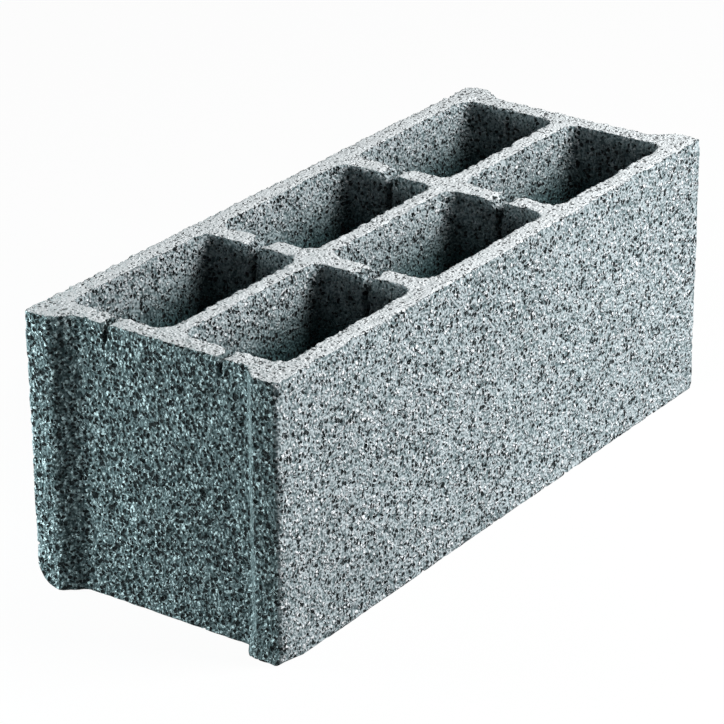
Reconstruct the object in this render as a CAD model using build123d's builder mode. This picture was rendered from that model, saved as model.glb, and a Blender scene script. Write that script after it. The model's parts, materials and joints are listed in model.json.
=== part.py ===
"""Hollow concrete block: two rows of three open cells and a wide mortar recess in each end."""

import os
from math import atan, degrees

from build123d import *

# Outside of the block
length = 495
width = 195
height = 190
corner_radius = 3.5

# Walls, as thick as they are at the top
side_wall = 16.5
spine = 14.5
end_wall = 16
web = 17

# Cells, which narrow towards the bottom by the draft on each side
cell_columns = 3
cell_rows = 2
cell_corner_radius = 9
cell_draft = 3

# Mortar recess between the two lips of an end
recess_depth = 12
lip_width = 19.5
flank_run = 14
lip_edge_radius = 7
flank_foot_radius = 9

# Slits that the core bars leave in the top, one along each row of cells
slit_top_width = 4.5
slit_bottom_width = 3
web_slit_depth = 30
end_slit_depth = 12

# How far a cut runs past what it cuts
overrun = 5

# Sizes that follow from the ones above
half_length = length / 2
half_width = width / 2
recess_floor = half_length - recess_depth
lip_inside = half_width - lip_width
flank_foot = lip_inside - flank_run
cell_length = (length - 2 * (recess_depth + end_wall) - (cell_columns - 1) * web) / cell_columns
cell_width = (width - 2 * side_wall - (cell_rows - 1) * spine) / cell_rows
column_pitch = cell_length + web
row_pitch = cell_width + spine
first_column = -column_pitch * (cell_columns - 1) / 2
draft_angle = degrees(atan(cell_draft / height))


with BuildPart() as block:
    # Plan of the block with its lips and recesses
    with BuildSketch(Plane.XY) as plan:
        with BuildLine():
            Polyline(
                (half_length, half_width),
                (half_length, lip_inside),
                (recess_floor, flank_foot),
                (recess_floor, -flank_foot),
                (half_length, -lip_inside),
                (half_length, -half_width),
                (-half_length, -half_width),
                (-half_length, -lip_inside),
                (-recess_floor, -flank_foot),
                (-recess_floor, flank_foot),
                (-half_length, lip_inside),
                (-half_length, half_width),
                close=True,
            )
        make_face()
        outer = plan.vertices().filter_by(lambda v: abs(v.Y) > half_width - lip_width / 2)
        fillet(outer, corner_radius)
        lips = plan.vertices().filter_by(
            lambda v: abs(v.X) > half_length - recess_depth / 2 and abs(v.Y) < half_width - lip_width / 2
        )
        fillet(lips, lip_edge_radius)
        feet = plan.vertices().filter_by(
            lambda v: abs(v.X) < half_length - recess_depth / 2 and abs(v.Y) < half_width - lip_width / 2
        )
        fillet(feet, flank_foot_radius)
    extrude(amount=height)

    # Cells, drawn on the top and cut down through the bottom
    with BuildSketch(Plane((0, 0, height), x_dir=(1, 0, 0), z_dir=(0, 0, -1))):
        with GridLocations(column_pitch, row_pitch, cell_columns, cell_rows):
            RectangleRounded(cell_length, cell_width, cell_corner_radius)
    extrude(amount=height + overrun, taper=draft_angle, mode=Mode.SUBTRACT)

    # Slits through the webs, and shallower ones through the wall of one end
    for start, reach, depth in (
        (first_column, column_pitch * (cell_columns - 1), web_slit_depth),
        (-half_length - overrun, first_column + half_length + overrun, end_slit_depth),
    ):
        with BuildSketch(Plane.YZ.offset(start)):
            with Locations(*[((row - (cell_rows - 1) / 2) * row_pitch, height) for row in range(cell_rows)]):
                Polygon(
                    (-slit_top_width / 2, overrun),
                    (-slit_top_width / 2, 0),
                    (-slit_bottom_width / 2, -depth),
                    (slit_bottom_width / 2, -depth),
                    (slit_top_width / 2, 0),
                    (slit_top_width / 2, overrun),
                    align=None,
                )
        extrude(amount=reach, mode=Mode.SUBTRACT)

block.part.label = "concrete_block"
os.makedirs("parts", exist_ok=True)
export_step(block.part, "parts/concrete_block.step")
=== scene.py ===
"""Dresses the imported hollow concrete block: its rough cast skin, its open-grained finish and a studio."""

import json
import math
from typing import NamedTuple

import bmesh
import bpy
import numpy as np
from bpy.props import FloatProperty, FloatVectorProperty, IntProperty, PointerProperty
from mathutils import Matrix, Vector, noise


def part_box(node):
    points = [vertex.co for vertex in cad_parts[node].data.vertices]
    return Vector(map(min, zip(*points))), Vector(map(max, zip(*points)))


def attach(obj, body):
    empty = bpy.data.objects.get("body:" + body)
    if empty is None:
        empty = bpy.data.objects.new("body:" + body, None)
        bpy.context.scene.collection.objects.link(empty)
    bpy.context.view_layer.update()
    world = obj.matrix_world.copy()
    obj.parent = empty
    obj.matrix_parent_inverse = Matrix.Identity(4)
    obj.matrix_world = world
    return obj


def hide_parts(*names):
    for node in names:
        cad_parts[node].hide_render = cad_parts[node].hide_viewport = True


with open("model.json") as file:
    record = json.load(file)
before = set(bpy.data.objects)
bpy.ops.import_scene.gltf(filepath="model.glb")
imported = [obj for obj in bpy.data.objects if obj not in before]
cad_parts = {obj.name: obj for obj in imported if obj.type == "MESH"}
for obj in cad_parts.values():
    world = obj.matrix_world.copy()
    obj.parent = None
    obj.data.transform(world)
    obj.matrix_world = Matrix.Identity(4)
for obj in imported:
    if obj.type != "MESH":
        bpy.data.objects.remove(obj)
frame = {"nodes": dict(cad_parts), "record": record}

bl_info = {
    "name": "Hollow Concrete Block",
    "version": (1, 0, 0),
    "blender": (4, 5, 0),
    "location": "View3D > Sidebar > Concrete Block",
    "description": "Gives a hollow concrete block its cast skin, its open-grained finish and a studio",
    "category": "Object",
}

# The block in the frame
BLOCK = "concrete_block"
LOW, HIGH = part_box(BLOCK)
OPENINGS = frame["record"]["physics"]["openings"]
CELLS = [opening["box_m"] for opening in OPENINGS if opening["name"].endswith("cell")]
ROWS = sorted({round((low[1] + high[1]) / 2, 5) for low, high in CELLS})
END_WALL = min(low[0] for low, _ in CELLS) - LOW.x
LAST_CELL = max((low[0] + high[0]) / 2 for low, high in CELLS)
CELLS_REACH = [max(high[axis] for _, high in CELLS) for axis in range(2)]
WHITE = (1, 1, 1)


class Pattern(NamedTuple):
    """A layer of noise: how much finer it is than its setting, where it is read and where it sets in."""

    finer: float
    shift: float
    start: float = 0
    end: float = 1


# Layers of noise in the skin
WAVE = Pattern(1, 1.7)
LUMP = Pattern(1, 5.3)
FINE_LUMP = Pattern(1.9, 11.9)
PIT = Pattern(1, 2.9)
FINE_PIT = Pattern(2.1, 7.7)
BITE = Pattern(1, 3.1, 0.54, 0.66)
FRAY = Pattern(2.3, 8.7, 0.50, 0.62)
CHIP = Pattern(3.7, 14.3, 0.48, 0.60)
BREAK = Pattern(1.7, 21.7, 0.42, 0.58)
FINE_BREAK = Pattern(3.5, 27.1, 0.42, 0.58)
WANDER = Pattern(1, 31.3)
FINE_WANDER = Pattern(2.6, 37.9)

# Noise levels between which the gaps between lumps and the pits set in, and how much later pits do on a bed
HOLLOW_LEVELS = (0.38, 0.72)
PIT_LEVELS = (0.62, 0.71)
BED_PIT_DELAY = 0.03

# Shares of its lumps and pits that a pressed bed loses
BED_LOST_LUMPS = 0.7
BED_LOST_PITS = 0.4

# Shares of the way to a rounded edge: everywhere, in each kind of bite, low on the block and in the mouths
EDGE_WEAR = 0.04
BITE_WEAR = 0.5
LOW_WEAR = 0.1
MOUTH_WEAR = 0.2

# Shares of the mouths' width that their crumbling spreads to, and of their depth that the bed breaks down
MOUTH_SPREAD = 0.7
BREAK_DEPTH = 0.35

# Shares of the way from the middle to the right flank's foot between which its new shape sets in
FLANK_START = 0.8
FLANK_FULL = 0.95

# Metres below the top between which the wear of the edges dies out
TOP_BAND = (0.006, 0.03)

# Metres from the nearer bed between which its pressed skin ends, and between which the painted shade deep
# in the cells sets in
BED_BAND = (0.001, 0.002)
DEEP_SHADE_BAND = (0.004, 0.052)

# Metres from the middle of a slit, and below the top, between which its inside begins, and its floor
SLIT_SIDE = (0.0035, 0.0055)
SLIT_TOP = (0.004, 0.009)
SLIT_FLOOR = 0.035

# Metres of pull by the rounding between which an edge comes to keep its points, and to count as a rim
EDGE_PULL = (0.0001, 0.0004)
RIM_PULL = (0.0005, 0.0016)

# Metres of wall round the cells that count as theirs, and a length next to nothing
CELL_MARGIN = 0.010
TINY = 1e-9

# Shares of a normal between which a face counts as level, as quite flat and as facing along the block
LEVEL = (0.6, 0.9)
FLAT = (0.9, 0.99)
ENDWISE = (0.4, 0.7)

# How strongly lumps, pits and slits count among the hollows that the finish reads and darkens with painted
# shade
LUMP_MARK = 0.35
PIT_MARK = 0.8
SLIT_MARK = 2

# Sizes in the finish: its nudge, sand, voids and patches against the grain, its slow drifts in metres
NUDGE_FINER = 1.1
SAND_SIZE = 0.6
VOID_SIZE = 1.05
PATCH_SIZE = 3
NARROW_DRIFT = 0.05
WIDE_DRIFT = 0.16

# Levels between which parts of the finish set in
VOID_EDGE = (-0.07, 0.02)
CHIP_EDGE = (-0.05, 0.03)
PASTE_TONES = (0.30, 0.64)
BED_VOID_EDGE = (0.095, 0.175)
BED_EDGE = (0.35, 0.65)
STONE_RISE = (-0.06, 0.30)
VOID_FALL = (-0.12, 0.20)

# How much the hollows, the patches, the ends and the rims shift the voids, which are painted dark as shade,
# the stones and the paste
HOLLOW_VOIDS = 0.05
HOLLOW_STONES = 0.1
PATCHY_GRAINS = 0.1
PATCHY_PASTE = 0.3
END_VOIDS = 0.045
END_STONES = 0.10
RIM_VOIDS = 0.08

# Shares in the tones: of the dullest chip, the smeared paste and its painted highlight, the slow drifts,
# the beds and their voids painted dark as shade
DULLEST_CHIP = 0.25
SMEAR_FILLS = 0.7
SMEAR_HIGHLIGHT = 0.15
DRIFT_TONE = 0.5
BED_COVER = 0.85
BED_VOID_SHADE = 0.85

# Shares in the relief and in the roughness
STONE_RELIEF = 0.55
SAND_RELIEF = 0.45
VOID_RELIEF = 0.8
BED_LOST_RELIEF = 0.6
SAND_POLISH = 0.08

# Metres inside a bed between which its paleness ends, and how ragged that end is
BED_SKIN = (0.0016, 0.0024)
BED_RAGGED = 0.004

# How much a metre of that raggedness counts against the flatness of a face
SLOPE_RAGGED = 80


# Settings that a user would change

class CastSkin(bpy.types.PropertyGroup):
    """Sizes of the block's rough skin."""

    voxel: FloatProperty(
        name="Skin Step", description="Spacing of the points that the skin is shaped with",
        default=0.0013, unit="LENGTH")
    triangles: IntProperty(
        name="Triangles", description="Triangles that the finished skin keeps",
        default=197000)
    wave_size: FloatProperty(
        name="Wave Size", description="Length of the slow waves in the walls",
        default=0.07, unit="LENGTH")
    wave_depth: FloatProperty(
        name="Wave Depth", description="Depth of the slow waves in the walls",
        default=0.0005, unit="LENGTH")
    lump_size: FloatProperty(
        name="Lump Size", description="Size of the lumps that clotted grains leave",
        default=0.009, unit="LENGTH")
    lump_depth: FloatProperty(
        name="Lump Depth", description="Depth between the lumps of clotted grains",
        default=0.0006, unit="LENGTH")
    pit_size: FloatProperty(
        name="Pit Size", description="Size of the open pits in the walls",
        default=0.0052, unit="LENGTH")
    pit_depth: FloatProperty(
        name="Pit Depth", description="Depth of the open pits in the walls",
        default=0.0015, unit="LENGTH")
    crumb_size: FloatProperty(
        name="Crumb Size", description="Length of the bites that the edges have lost",
        default=0.011, unit="LENGTH")
    crumb_reach: FloatProperty(
        name="Crumb Reach", description="How far from an edge a bite begins",
        default=0.0055, unit="LENGTH")
    mouth_width: FloatProperty(
        name="Mouth Width", description="Width over which the mouths of the slits have crumbled",
        default=0.015, unit="LENGTH")
    mouth_depth: FloatProperty(
        name="Mouth Depth", description="Depth to which the mouths of the slits have crumbled",
        default=0.009, unit="LENGTH")
    crack_shut: FloatProperty(
        name="Crack Shut", description="Share of their width that the slits lose under their mouths",
        default=0.3, min=0, max=1, subtype="FACTOR")
    end_shut: FloatProperty(
        name="End Shut", description="Share of their width that the slits in the end wall lose",
        default=0.5, min=0, max=1, subtype="FACTOR")
    end_mouth: FloatProperty(
        name="End Mouth", description="Share of the mouths' crumbling that the slits in the end wall have",
        default=0.45, min=0, max=1, subtype="FACTOR")
    crack_lean: FloatProperty(
        name="Crack Lean", description="How far the slits wander to the right of their row and about it",
        default=0.002, unit="LENGTH")
    flank_foot: FloatProperty(
        name="Flank Foot", description="Where the flank of the right lip meets the recess, from the middle",
        default=0.066, unit="LENGTH")
    flank_edge: FloatProperty(
        name="Flank Edge", description="Where the flank of the right lip meets its flat, from the middle",
        default=0.078, unit="LENGTH")
    flank_sag: FloatProperty(
        name="Flank Sag", description="How far the right lip has sagged inwards at its foot",
        default=0.004, unit="LENGTH")
    sag_height: FloatProperty(
        name="Sag Height", description="Height over which that sag fades out",
        default=0.022, unit="LENGTH")
    worn_left: FloatProperty(
        name="Worn Left Corner",
        description="Radius of the worn lower corner of the left lip at the slit end",
        default=0.022, unit="LENGTH")
    worn_right: FloatProperty(
        name="Worn Right Corner",
        description="Radius of the worn lower corner of the right lip at the slit end",
        default=0.008, unit="LENGTH")
    worn_run: FloatProperty(
        name="Worn Run", description="Length along the block over which that wear fades out",
        default=0.03, unit="LENGTH")


class Concrete(bpy.types.PropertyGroup):
    """Sizes and colours of the open-grained concrete."""

    grain: FloatProperty(
        name="Grain", description="Size of the gravel grains that show on the walls",
        default=0.0029, unit="LENGTH")
    relief: FloatProperty(
        name="Relief", description="Height of the grains above the gaps between them",
        default=0.0034, unit="LENGTH")
    pale: FloatVectorProperty(
        name="Pale Grain", description="Colour of the palest grains",
        default=(0.90, 0.93, 0.955), size=3, min=0, max=1, subtype="COLOR")
    light: FloatVectorProperty(
        name="Light Grain", description="Colour of the light grains",
        default=(0.42, 0.48, 0.502), size=3, min=0, max=1, subtype="COLOR")
    paste: FloatVectorProperty(
        name="Cement", description="Colour of the cement paste",
        default=(0.112, 0.156, 0.166), size=3, min=0, max=1, subtype="COLOR")
    # The hollow colour is near-black painted shade for the voids, pits and slits.
    hollow: FloatVectorProperty(
        name="Hollow", description="Colour deep in the gaps and pits",
        default=(0.006, 0.011, 0.012), size=3, min=0, max=1, subtype="COLOR")
    bed: FloatVectorProperty(
        name="Bed Face", description="Colour of the paler pressed top and bottom",
        default=(0.84, 0.88, 0.895), size=3, min=0, max=1, subtype="COLOR")
    # The two ends' darker and cooler cement is painted shade.
    end_shade: FloatProperty(
        name="Darker Ends", description="How much darker the cement of the two ends is",
        default=0.58, min=0, max=1, subtype="FACTOR")
    end_shade_tint: FloatVectorProperty(
        name="End Tint", description="Tint of the damper cement of the two ends",
        default=(0.86, 1.0, 1.0), size=3, min=0, max=1, subtype="COLOR")
    # The deep tint is painted shade, darker towards the middle of the cells' height.
    deep: FloatVectorProperty(
        name="Deep Tint", description="Tint that the walls take deep in the cells",
        default=(0.13, 0.23, 0.235), size=3, min=0, max=1, subtype="COLOR")
    roughness: FloatProperty(
        name="Roughness", description="Roughness of the dry cement",
        default=0.92, min=0, max=1, subtype="FACTOR")


class Studio(bpy.types.PropertyGroup):
    """Camera, lamps and floor."""

    azimuth: FloatProperty(
        name="Azimuth", description="Turn of the camera about the block",
        default=math.radians(-54.415), subtype="ANGLE")
    elevation: FloatProperty(
        name="Elevation", description="Camera angle above the horizon",
        default=math.radians(24.404), subtype="ANGLE")
    roll: FloatProperty(
        name="Roll", description="Tilt of the camera about its own axis",
        default=math.radians(-0.55), subtype="ANGLE")
    distance: FloatProperty(
        name="Distance", description="Camera distance from the point that it looks at",
        default=2.1627, unit="LENGTH")
    aim: FloatVectorProperty(
        name="Aim", description="Point that the camera looks at, from the block's centre",
        default=(-0.0110, 0.0102, -0.0066), size=3, subtype="TRANSLATION", unit="LENGTH")
    lens: FloatProperty(
        name="Lens", description="Focal length in millimetres",
        default=161.53, unit="CAMERA")
    key_place: FloatVectorProperty(
        name="Key Lamp", description="Place of the main lamp",
        default=(0.60, -1.28, 1.12), size=3, subtype="TRANSLATION", unit="LENGTH")
    key_size: FloatProperty(
        name="Key Size", description="Width of the main lamp",
        default=0.9, unit="LENGTH")
    key_power: FloatProperty(
        name="Key Power", description="Power of the main lamp",
        default=46, unit="POWER")
    side_place: FloatVectorProperty(
        name="Side Lamp", description="Place of the low lamp beside the far half of the lit side",
        default=(0.22, -0.75, 0.10), size=3, subtype="TRANSLATION", unit="LENGTH")
    side_size: FloatProperty(
        name="Side Size", description="Width of the side lamp",
        default=0.3, unit="LENGTH")
    side_power: FloatProperty(
        name="Side Power", description="Power of the side lamp",
        default=1.7, unit="POWER")
    fill_place: FloatVectorProperty(
        name="Fill Lamp", description="Place of the low lamp beside the shaded end",
        default=(-0.46, 0.42, 0.14), size=3, subtype="TRANSLATION", unit="LENGTH")
    fill_size: FloatProperty(
        name="Fill Size", description="Width of the fill lamp",
        default=0.3, unit="LENGTH")
    fill_power: FloatProperty(
        name="Fill Power", description="Power of the fill lamp",
        default=4.1, unit="POWER")
    front_place: FloatVectorProperty(
        name="Front Lamp", description="Place of the low lamp in front of the shaded end",
        default=(-1.35, -0.22, 0.15), size=3, subtype="TRANSLATION", unit="LENGTH")
    front_size: FloatProperty(
        name="Front Size", description="Width of the front lamp",
        default=0.3, unit="LENGTH")
    front_power: FloatProperty(
        name="Front Power", description="Power of the front lamp",
        default=1.5, unit="POWER")
    fill_colour: FloatVectorProperty(
        name="Fill Colour", description="Cool tint of the fill lamp, the front lamp and the room",
        default=(0.84, 0.975, 0.99), size=3, min=0, max=1, subtype="COLOR")
    room_light: FloatProperty(
        name="Room Light", description="Strength of the even light of the room",
        default=0.03, min=0)
    floor_size: FloatProperty(
        name="Floor Size", description="Width of the floor",
        default=12, unit="LENGTH")
    floor_colour: FloatVectorProperty(
        name="Floor Colour", description="Colour of the pale floor",
        default=(0.86, 0.87, 0.87), size=3, min=0, max=1, subtype="COLOR")
    floor_glow: FloatProperty(
        name="Floor Whiteness", description="Share of plain white in the floor that the camera sees",
        default=0.96, min=0, max=1, subtype="FACTOR")
    floor_bounce: FloatVectorProperty(
        name="Floor Bounce", description="Colour of the floor for the light that it throws back",
        default=(0.12, 0.13, 0.13), size=3, min=0, max=1, subtype="COLOR")


# Shader sums

class Shade:
    """A shader socket that takes part in Python sums: each operator adds one Math node."""

    def __init__(self, tree, socket=None):
        self.tree = tree
        self.socket = socket

    def node(self, kind, settings=None, sockets=None, output=0):
        """Adds a node, sets its settings, feeds its sockets and returns one of its outputs."""
        made = self.tree.nodes.new(kind)
        for name, value in (settings or {}).items():
            setattr(made, name, value)
        for name, value in (sockets or {}).items():
            if isinstance(value, Shade):
                self.tree.links.new(value.socket, made.inputs[name])
            else:
                made.inputs[name].default_value = value
        return Shade(self.tree, made.outputs[output] if made.outputs else None)

    def also(self, output):
        """Another output of the node that this one comes from."""
        return Shade(self.tree, self.socket.node.outputs[output])

    def math(self, operation, *values):
        """A Math node on these values or sockets."""
        return self.node("ShaderNodeMath", {"operation": operation}, dict(enumerate(values)))

    def __add__(self, other):
        return self.math("ADD", self, other)

    def __radd__(self, other):
        return self.math("ADD", other, self)

    def __sub__(self, other):
        return self.math("SUBTRACT", self, other)

    def __rsub__(self, other):
        return self.math("SUBTRACT", other, self)

    def __mul__(self, other):
        return self.math("MULTIPLY", self, other)

    def __rmul__(self, other):
        return self.math("MULTIPLY", other, self)

    def step(self, start, end):
        """0 before start, 1 after end and a smooth rise between them."""
        return self.node(
            "ShaderNodeMapRange", {"interpolation_type": "SMOOTHSTEP"},
            {"Value": self, "From Min": start, "From Max": end})

    def mix(self, first, second):
        """The colour first where this is 0 and second where it is 1."""
        return self.node(
            "ShaderNodeMix", {"data_type": "RGBA"}, {0: self, 6: first, 7: second}, output=2)


def solid(colour):
    """A colour with full alpha."""
    return (*colour, 1)


def empty_tree(owner):
    """The start of a material's or a world's nodes."""
    owner.use_nodes = True
    owner.node_tree.nodes.clear()
    return Shade(owner.node_tree)


# The cast skin

def apply_modifiers(piece):
    """Gives the piece the mesh that its modifiers make."""
    shaped = piece.evaluated_get(bpy.context.evaluated_depsgraph_get())
    mesh = bpy.data.meshes.new_from_object(shaped)
    piece.modifiers.clear()
    piece.data = mesh


def read_points(mesh, layer="co"):
    """The places or normals of a mesh's vertices, one row each."""
    values = np.empty(len(mesh.vertices) * 3, np.float32)
    mesh.vertices.foreach_get(layer, values)
    return values.reshape(-1, 3).astype(float)


def write_points(mesh, points):
    """Moves a mesh's vertices to these places."""
    mesh.vertices.foreach_set("co", points.astype(np.float32).ravel())
    mesh.update()


def mark(mesh, name, values):
    """Keeps one value for each vertex, for the finish to read."""
    layer = mesh.attributes.new(name, "FLOAT", "POINT")
    layer.data.foreach_set("value", values.astype(np.float32))


def rise(values, start, end):
    """0 before start, 1 after end and a smooth rise between them."""
    share = np.clip((values - start) / (end - start), 0, 1)
    return share * share * (3 - 2 * share)


def clouds(points, size, pattern):
    """A pattern's soft noise from 0 to 1, in lumps of that size or as much finer as the pattern is."""
    places = (points / (size / pattern.finer) + pattern.shift).tolist()
    return np.fromiter((noise.noise(place) for place in places), float, len(places)) / 2 + 0.5


def patches(points, size, pattern):
    """1 where a pattern has set in, 0 where it hasn't."""
    return rise(clouds(points, size, pattern), pattern.start, pattern.end)


def blend(coarse, fine, fine_share):
    """Two layers of noise in one."""
    return (1 - fine_share) * coarse + fine_share * fine


def from_bed(points):
    """How far each point lies from the nearer of the two beds."""
    return np.minimum(HIGH.z - points[:, 2], points[:, 2] - LOW.z)


def nearest_row(points):
    """The middle of the row of cells that each point is nearest to."""
    rows = np.array(ROWS)
    return rows[np.argmin(np.abs(points[:, 1, None] - rows), axis=1)]


def in_end_wall(points):
    """1 in the end wall that has slits, 0 in the rest of the block."""
    return (points[:, 0] < LOW.x + END_WALL * 1.5).astype(float)


def slit_mouths(points, skin):
    """1 in the mouths of the slits, fading to 0 at their width and depth."""
    aside = np.abs(points[:, 1] - nearest_row(points))
    below = HIGH.z - points[:, 2]
    near = 1 - rise(aside, skin.mouth_width / 4, skin.mouth_width * MOUTH_SPREAD)
    near *= (points[:, 0] < LAST_CELL) * (1 - in_end_wall(points) * (1 - skin.end_mouth))
    return near * (1 - rise(below, skin.mouth_depth / 3, skin.mouth_depth))


def slit_insides(points, normals, skin):
    """1 on the walls of the slits below their mouths, 0 on the rest of the block."""
    aside = np.abs(points[:, 1] - nearest_row(points) + skin.crack_lean)
    below = HIGH.z - points[:, 2]
    inside = (1 - rise(aside, *SLIT_SIDE)) * rise(below, *SLIT_TOP) * (below < SLIT_FLOOR)
    inside *= (points[:, 0] < LAST_CELL) * (1 - rise(np.abs(normals[:, 0]), *ENDWISE))
    return inside


def even_skin(skin):
    """A welded copy of the block from the frame, with its faces divided evenly."""
    work = bmesh.new()
    work.from_mesh(frame["nodes"][BLOCK].data)
    bmesh.ops.remove_doubles(work, verts=work.verts, dist=skin.voxel / 100)
    mesh = bpy.data.meshes.new("cast_block")
    work.to_mesh(mesh)
    work.free()
    piece = bpy.data.objects.new("cast_block", mesh)
    bpy.context.scene.collection.objects.link(piece)
    remesh = piece.modifiers.new("Even skin", "REMESH")
    remesh.mode = "VOXEL"
    remesh.voxel_size = skin.voxel
    apply_modifiers(piece)
    return piece


def sharpen_flank(piece, skin):
    """Gives the right lip of the slit end a crisp flank, sagging at its foot."""
    points = read_points(piece.data)
    behind = points[:, 0] - LOW.x
    across = -points[:, 1]
    half_up = np.abs(points[:, 2] - (LOW.z + HIGH.z) / 2) < skin.voxel
    wall = np.flatnonzero(half_up & (behind < END_WALL / 2) & (across > 0))
    wall = wall[np.argsort(across[wall])]
    was = np.interp(across, across[wall], behind[wall])
    recess = np.median(behind[wall][across[wall] < skin.flank_foot / 2])
    low = 1 - rise(points[:, 2] - LOW.z, 0, skin.sag_height)
    sag = skin.flank_sag * low
    foot = skin.flank_foot - sag / 2
    slope = np.clip((across - foot) / (skin.flank_edge - sag - foot), 0, 1)
    now = np.where(across < HIGH.y - skin.voxel * 4, recess * (1 - slope) ** (1 + low), was)
    fading = 1 - rise(behind - was, 0, END_WALL / 2)
    fading *= rise(across, foot * FLANK_START, foot * FLANK_FULL)
    points[:, 0] += (now - was) * fading
    write_points(piece.data, points)


def crack_slits(piece, skin):
    """Closes the slits up to ragged cracks and breaks the bed down round their mouths."""
    points = read_points(piece.data)
    row = nearest_row(points)
    aside = points[:, 1] - row
    below = HIGH.z - points[:, 2]
    end = in_end_wall(points)
    close = 1 - rise(np.abs(aside), skin.mouth_width / 6, skin.mouth_width * MOUTH_SPREAD)
    close *= (points[:, 0] < LAST_CELL) * (1 - rise(below, 4 * skin.mouth_depth, 5 * skin.mouth_depth))

    # Both walls of a slit move alike, so its points take the noise of its middle
    along = np.column_stack((points[:, 0], row, points[:, 2]))
    wander = clouds(along, skin.crumb_size, WANDER) + clouds(along, skin.crumb_size, FINE_WANDER) - 1
    shut = rise(below, skin.mouth_depth / 2, 1.5 * skin.mouth_depth) * skin.crack_shut
    shut = np.maximum(shut, end * skin.end_shut)
    points[:, 1] -= close * (aside * shut + skin.crack_lean * (1 + 2 * wander))

    # The bed breaks down by upright bites, so all points below one take its noise
    over = np.column_stack((points[:, :2], np.full(len(points), HIGH.z)))
    broken = blend(
        patches(over, skin.crumb_size, BREAK), patches(over, skin.crumb_size, FINE_BREAK), fine_share=0.3)
    broken *= BREAK_DEPTH * skin.mouth_depth * (1 - end * (1 - skin.end_mouth))
    points[:, 2] -= close * broken * np.clip(1 - below / (2 * skin.mouth_depth), 0, 1)
    write_points(piece.data, points)


def crumble_edges(piece, skin):
    """Bites out of the sharp edges, deepest round the top and at the mouths of the slits."""
    points = read_points(piece.data)
    normals = read_points(piece.data, "normal")
    smooth = piece.modifiers.new("Round", "SMOOTH")
    smooth.factor = 0.5
    smooth.iterations = round(2 * (skin.crumb_reach / skin.voxel) ** 2)
    rounded = piece.evaluated_get(bpy.context.evaluated_depsgraph_get())
    moves = read_points(rounded.data) - points
    piece.modifiers.clear()
    outward = np.einsum("ij,ij->i", moves, normals)
    bitten = patches(points, skin.crumb_size, BITE)
    frayed = patches(points, skin.crumb_size, FRAY)
    chipped = patches(points, skin.crumb_size, CHIP)
    top = 1 - rise(HIGH.z - points[:, 2], *TOP_BAND)
    share = EDGE_WEAR + BITE_WEAR * bitten + BITE_WEAR * frayed + BITE_WEAR * chipped
    share *= LOW_WEAR + (1 - LOW_WEAR) * top
    share += slit_mouths(points, skin) * (MOUTH_WEAR + BITE_WEAR * frayed)
    share[outward > 0] = 0
    write_points(piece.data, points + moves * share[:, None])
    mark(piece.data, "rim", rise(-outward, *RIM_PULL))

    # Only points away from the top edges may be thinned out later
    edge = rise(-outward, *EDGE_PULL) * top
    spare = piece.vertex_groups.new(name="thin")
    spare.add(np.flatnonzero(edge < 0.5).tolist(), 1, "REPLACE")


def mark_places(piece, skin):
    """Marks the level faces, the ends and the deep of the cells, which take painted shade, and the smeared
    right flank, which takes a painted highlight.
    """
    points = read_points(piece.data)
    normals = read_points(piece.data, "normal")
    mark(piece.data, "flat", rise(np.abs(normals[:, 2]), *FLAT))
    # The ends are marked for painted shade.
    outside = np.abs(points[:, 0]) > CELLS_REACH[0] + END_WALL / 4
    mark(piece.data, "end", outside * (np.abs(points[:, 1]) < HIGH.y - skin.crumb_reach / 2))
    # The right flank is marked to have its voids filled and to take a painted highlight.
    across = -points[:, 1]
    smear = rise(across, skin.flank_foot, skin.flank_foot + skin.voxel)
    smear *= 1 - rise(across, skin.flank_edge - skin.voxel, skin.flank_edge)
    mark(piece.data, "smear", smear * (points[:, 0] < LOW.x + END_WALL / 2))
    # The deep of the cells is marked for painted shade.
    inside = np.all(np.abs(points[:, :2]) < np.add(CELLS_REACH, CELL_MARGIN), axis=1)
    mark(piece.data, "deep", inside * rise(from_bed(points), *DEEP_SHADE_BAND))


def roughen_walls(piece, skin):
    """Sinks waves, lumps and open pits into every face, never outwards, and marks the hollows for painted
    shade.
    """
    points = read_points(piece.data)
    normals = read_points(piece.data, "normal")
    pressed = rise(np.abs(normals[:, 2]), *LEVEL) * (1 - rise(from_bed(points), *BED_BAND))
    lumps = blend(
        clouds(points, skin.lump_size, LUMP), clouds(points, skin.lump_size, FINE_LUMP), fine_share=0.35)
    hollow = rise(1 - lumps, *HOLLOW_LEVELS) * (1 - BED_LOST_LUMPS * pressed)
    pitted = blend(
        clouds(points, skin.pit_size, PIT), clouds(points, skin.pit_size, FINE_PIT), fine_share=0.3)
    start, end = (level + BED_PIT_DELAY * pressed for level in PIT_LEVELS)
    pit = rise(pitted, start, end) * (1 - BED_LOST_PITS * pressed)
    depth = skin.wave_depth * clouds(points, skin.wave_size, WAVE)
    depth += skin.lump_depth * hollow + skin.pit_depth * pit
    write_points(piece.data, points - normals * depth[:, None])
    # The slits' mouths and insides count as hollows, which get painted shade.
    slit = np.maximum(slit_mouths(points, skin) ** 2, slit_insides(points, normals, skin))
    mark(piece.data, "hollow", LUMP_MARK * hollow + PIT_MARK * pit + SLIT_MARK * slit)


def wear_corners(piece, skin):
    """Rounds the lower corners of both lips at the slit end, fading along the block."""
    points = read_points(piece.data)
    fading = 1 - rise(points[:, 0], LOW.x, LOW.x + skin.worn_run)
    for radius, side, turn in ((skin.worn_left, HIGH.y, -1), (skin.worn_right, LOW.y, 1)):
        radius = radius * fading
        across = radius - turn * (points[:, 1] - side)
        down = radius - (points[:, 2] - LOW.z)
        reach = np.hypot(across, down)
        worn = (across > 0) & (down > 0) & (reach > radius)
        pull = np.where(worn, 1 - radius / np.maximum(reach, TINY), 0)
        points[:, 1] += turn * across * pull
        points[:, 2] += down * pull
    write_points(piece.data, points)


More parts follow.
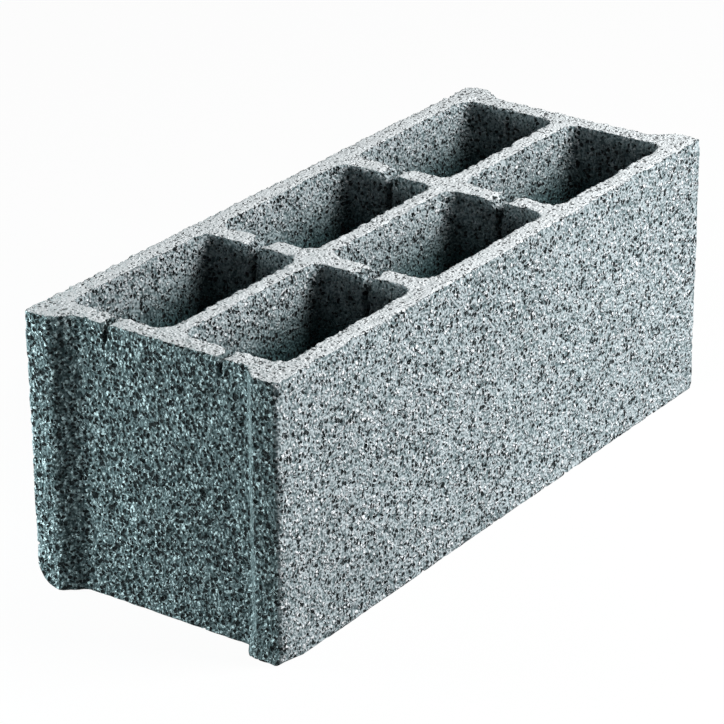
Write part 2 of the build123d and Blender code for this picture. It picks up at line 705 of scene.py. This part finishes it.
def thin_out(piece, skin):
    """Leaves out the points that the skin can do without."""
    faces = sum(len(face.vertices) - 2 for face in piece.data.polygons)
    thin = piece.modifiers.new("Thin out", "DECIMATE")
    thin.ratio = min(1, skin.triangles / faces)
    thin.use_collapse_triangulate = True
    thin.vertex_group = "thin"
    apply_modifiers(piece)
    piece.vertex_groups.clear()
    write_points(piece.data, np.clip(read_points(piece.data), LOW, HIGH))
    piece.data.shade_smooth()


# The finish

def open_grained_concrete(look):
    """Cement paste with pale chips of gravel and paler pressed beds; painted shade darkens the voids
    between the grains, the ends and the deep of the cells, and a painted highlight lies on the right flank.
    """
    material = bpy.data.materials.new("open_grained_concrete")
    shade = empty_tree(material)
    place = shade.node("ShaderNodeTexCoord", output="Object")

    def marked(name):
        """A value that the skin keeps for each of its points."""
        return shade.node("ShaderNodeAttribute", {"attribute_name": name}, output="Fac")

    def drift(size, detail=0, output="Fac"):
        """Soft noise in lumps of that size."""
        sockets = {"Vector": place, "Scale": 1 / size, "Detail": detail}
        return shade.node("ShaderNodeTexNoise", {}, sockets, output)

    def vectors(operation, *values):
        """A Vector Math node on these values or sockets."""
        return shade.node("ShaderNodeVectorMath", {"operation": operation}, dict(enumerate(values)))

    def scaled(colour, share):
        """A colour made darker or lighter all alike."""
        return shade.node("ShaderNodeVectorMath", {"operation": "SCALE"}, {0: colour, "Scale": share})

    # Places nudged about, so that no grain is round
    nudge = vectors("SUBTRACT", drift(look.grain / NUDGE_FINER, 1, "Color"), (0.5, 0.5, 0.5))

    def specks(size, aside, least, most):
        """Over 0 inside specks whose radius runs from least to most of that size, and a tone for each."""
        moved = vectors("MULTIPLY_ADD", nudge, (size, size, size), place)
        moved = vectors("ADD", moved, (aside, aside, aside))
        away = shade.node("ShaderNodeTexVoronoi", {}, {"Vector": moved, "Scale": 1 / size})
        own = shade.node("ShaderNodeSeparateColor", {}, {0: away.also("Color")})
        return own * (most - least) + least - away, own.also("Green")

    # How far each face is a pressed bed
    height = shade.node("ShaderNodeSeparateXYZ", {}, {0: place}, "Z")
    ragged = (drift(look.grain, 1) - 0.5) * BED_RAGGED
    near, far = BED_SKIN
    bed = (height + ragged).step(HIGH.z - far, HIGH.z - near)
    bed = bed + (1 - (height + ragged).step(LOW.z + near, LOW.z + far))
    bed = bed * (marked("flat") + ragged * SLOPE_RAGGED).step(*BED_EDGE)

    # Chips of gravel in the paste, and the voids between them, whose near-black is painted shade
    sunk = marked("hollow")
    end = marked("end")
    smear = marked("smear")
    patchy = drift(look.grain * PATCH_SIZE, 1) - 0.5
    sand = drift(look.grain * SAND_SIZE)
    voids, _ = specks(look.grain * VOID_SIZE, aside=0.7, least=0.02, most=0.47)
    stones, tone = specks(look.grain, aside=1.1, least=0.14, most=0.56)
    voids = voids + sunk * HOLLOW_VOIDS - patchy * PATCHY_GRAINS + end * END_VOIDS
    stones = stones - sunk * HOLLOW_STONES + patchy * PATCHY_GRAINS + end * END_STONES
    # Where the voids are painted near-black as shade.
    void_shade = voids.step(*VOID_EDGE)
    chip = stones.step(*CHIP_EDGE) * (tone * (1 - DULLEST_CHIP) + DULLEST_CHIP)
    paste = (sand + patchy * PATCHY_PASTE).step(*PASTE_TONES)
    # Painted shade: the ends' cement is darker.
    colour = scaled(paste.mix(solid(look.paste), solid(look.light)), 1 - end * look.end_shade)
    colour = chip.mix(colour, solid(look.pale))
    colour = (void_shade * (1 - smear * SMEAR_FILLS)).mix(colour, solid(look.hollow))
    # A painted highlight on the right flank.
    colour = (smear * SMEAR_HIGHLIGHT).mix(colour, solid(look.light))

    # Slow drifts of tone over the walls, and the painted shade that tints the ends and the deep of the
    # cells
    cloud = drift(NARROW_DRIFT, 3) * 0.5 + drift(WIDE_DRIFT, 2) * 0.5
    colour = scaled(colour, cloud * DRIFT_TONE + (1 - DRIFT_TONE / 2))
    tint = marked("deep").mix(end.mix(solid(WHITE), solid(look.end_shade_tint)), solid(look.deep))
    colour = vectors("MULTIPLY", colour, tint)

    # Beds pressed flat, with only the deepest voids left open and painted dark as shade
    open_void_shade = (voids + marked("rim") * RIM_VOIDS).step(*BED_VOID_EDGE)
    bed_colour = (open_void_shade * BED_VOID_SHADE).mix(solid(look.bed), solid(look.hollow))
    colour = (bed * BED_COVER).mix(colour, bed_colour)

    raised = stones.step(*STONE_RISE) * STONE_RELIEF + sand * SAND_RELIEF
    raised = raised - voids.step(*VOID_FALL) * VOID_RELIEF
    normal = shade.node(
        "ShaderNodeBump", {},
        {"Strength": 1, "Distance": look.relief, "Height": raised * (1 - bed * BED_LOST_RELIEF)})
    surface = shade.node(
        "ShaderNodeBsdfPrincipled", {},
        {"Base Color": colour, "Roughness": look.roughness - sand * SAND_POLISH,
         "Specular IOR Level": 0.2, "Normal": normal})
    shade.node("ShaderNodeOutputMaterial", {}, {0: surface})
    return material


# The stage

def white_to_camera(shade):
    """1 for the rays that show the background: straight ones and those off metal or through glass."""
    straight = shade.node("ShaderNodeLightPath", output="Is Camera Ray")
    turned = shade.math("MAXIMUM", straight.also("Is Glossy Ray"), straight.also("Is Transmission Ray"))
    return shade.math("MAXIMUM", straight, turned)


def pale_floor(studio):
    """A matt floor that the camera sees near white, with the block's shadow left in it."""
    material = bpy.data.materials.new("pale_floor")
    shade = empty_tree(material)
    bounce = shade.node("ShaderNodeBsdfDiffuse", {}, {"Color": solid(studio.floor_bounce)})
    paint = shade.node("ShaderNodeBsdfDiffuse", {}, {"Color": solid(studio.floor_colour)})
    glow = shade.node("ShaderNodeEmission", {}, {"Color": solid(WHITE), "Strength": 1})
    seen = shade.node("ShaderNodeMixShader", {}, {0: studio.floor_glow, 1: paint, 2: glow})
    shown = shade.node("ShaderNodeMixShader", {}, {0: white_to_camera(shade), 1: bounce, 2: seen})
    shade.node("ShaderNodeOutputMaterial", {}, {0: shown})
    return material


def light_room(studio):
    """A dim even light from all round, behind which the camera sees white."""
    world = bpy.data.worlds.new("room")
    shade = empty_tree(world)
    dim = shade.node(
        "ShaderNodeBackground", {}, {"Color": solid(studio.fill_colour), "Strength": studio.room_light})
    white = shade.node("ShaderNodeBackground", {}, {"Color": solid(WHITE), "Strength": 1})
    seen = shade.node("ShaderNodeMixShader", {}, {0: white_to_camera(shade), 1: dim, 2: white})
    shade.node("ShaderNodeOutputWorld", {}, {0: seen})
    bpy.context.scene.world = world


def hang_lamp(name, place, target, size, power, colour):
    """A square lamp turned to the target."""
    lamp = bpy.data.lights.new(name, "AREA")
    lamp.size = size
    lamp.energy = power
    lamp.color = colour
    hung = bpy.data.objects.new(name, lamp)
    hung.location = place
    hung.rotation_euler = (target - Vector(place)).to_track_quat("-Z", "Y").to_euler()
    hung.visible_camera = False
    bpy.context.scene.collection.objects.link(hung)


def lay_floor(studio):
    """A wide flat floor under the block."""
    work = bmesh.new()
    bmesh.ops.create_grid(
        work, x_segments=1, y_segments=1, size=studio.floor_size / 2,
        matrix=Matrix.Translation((0, 0, LOW.z)))
    mesh = bpy.data.meshes.new("floor")
    work.to_mesh(mesh)
    work.free()
    mesh.materials.append(pale_floor(studio))
    floor = bpy.data.objects.new("floor", mesh)
    bpy.context.scene.collection.objects.link(floor)


def set_camera(studio, centre):
    """A camera turned about the block, looking at a point near its centre."""
    lens = bpy.data.cameras.new("camera")
    lens.lens = studio.lens
    camera = bpy.data.objects.new("camera", lens)
    level = math.cos(studio.elevation)
    back = Vector((
        math.sin(studio.azimuth) * level,
        -math.cos(studio.azimuth) * level,
        math.sin(studio.elevation)))
    camera.location = centre + Vector(studio.aim) + back * studio.distance
    turn = (-back).to_track_quat("-Z", "Y").to_matrix() @ Matrix.Rotation(studio.roll, 3, "Z")
    camera.rotation_euler = turn.to_euler()
    bpy.context.scene.collection.objects.link(camera)
    bpy.context.scene.camera = camera


# Operators and panel

class OBJECT_OT_cast_block(bpy.types.Operator):
    """Make the block's rough cast skin and give it its concrete finish"""

    bl_idname = "object.cast_block"
    bl_label = "Cast the Block"

    def execute(self, context):
        skin = context.scene.cast_skin
        piece = even_skin(skin)
        sharpen_flank(piece, skin)
        crack_slits(piece, skin)
        crumble_edges(piece, skin)
        mark_places(piece, skin)
        roughen_walls(piece, skin)
        wear_corners(piece, skin)
        thin_out(piece, skin)
        piece.data.materials.clear()
        piece.data.materials.append(open_grained_concrete(context.scene.concrete))
        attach(piece, "root")
        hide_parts(BLOCK)
        return {"FINISHED"}


class SCENE_OT_block_studio(bpy.types.Operator):
    """Lay the floor, hang the lamps and place the camera"""

    bl_idname = "scene.block_studio"
    bl_label = "Set Up the Studio"

    def execute(self, context):
        studio = context.scene.studio
        centre = (LOW + HIGH) / 2
        cool = studio.fill_colour
        lay_floor(studio)
        light_room(studio)
        hang_lamp("key_lamp", studio.key_place, centre, studio.key_size, studio.key_power, WHITE)
        hang_lamp("side_lamp", studio.side_place, centre, studio.side_size, studio.side_power, WHITE)
        hang_lamp("fill_lamp", studio.fill_place, centre, studio.fill_size, studio.fill_power, cool)
        hang_lamp("front_lamp", studio.front_place, centre, studio.front_size, studio.front_power, cool)
        set_camera(studio, centre)
        context.scene.view_settings.view_transform = "Standard"
        return {"FINISHED"}


class VIEW3D_PT_concrete_block(bpy.types.Panel):
    """The block's settings and its two steps"""

    bl_label = "Concrete Block"
    bl_space_type = "VIEW_3D"
    bl_region_type = "UI"
    bl_category = "Concrete Block"

    def draw(self, context):
        steps = (
            ("object.cast_block", (context.scene.cast_skin, context.scene.concrete)),
            ("scene.block_studio", (context.scene.studio,)))
        for step, groups in steps:
            box = self.layout.box()
            for group in groups:
                for name in group.__annotations__:
                    box.prop(group, name)
            box.operator(step)


CLASSES = (
    CastSkin, Concrete, Studio, OBJECT_OT_cast_block, SCENE_OT_block_studio, VIEW3D_PT_concrete_block)


def register():
    for each in CLASSES:
        bpy.utils.register_class(each)
    bpy.types.Scene.cast_skin = PointerProperty(type=CastSkin)
    bpy.types.Scene.concrete = PointerProperty(type=Concrete)
    bpy.types.Scene.studio = PointerProperty(type=Studio)


def unregister():
    for name in ("cast_skin", "concrete", "studio"):
        delattr(bpy.types.Scene, name)
    for each in reversed(CLASSES):
        bpy.utils.unregister_class(each)


def main():
    """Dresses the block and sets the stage."""
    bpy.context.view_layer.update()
    register()
    bpy.ops.object.cast_block()
    bpy.ops.scene.block_studio()


if __name__ == "__main__":
    main()
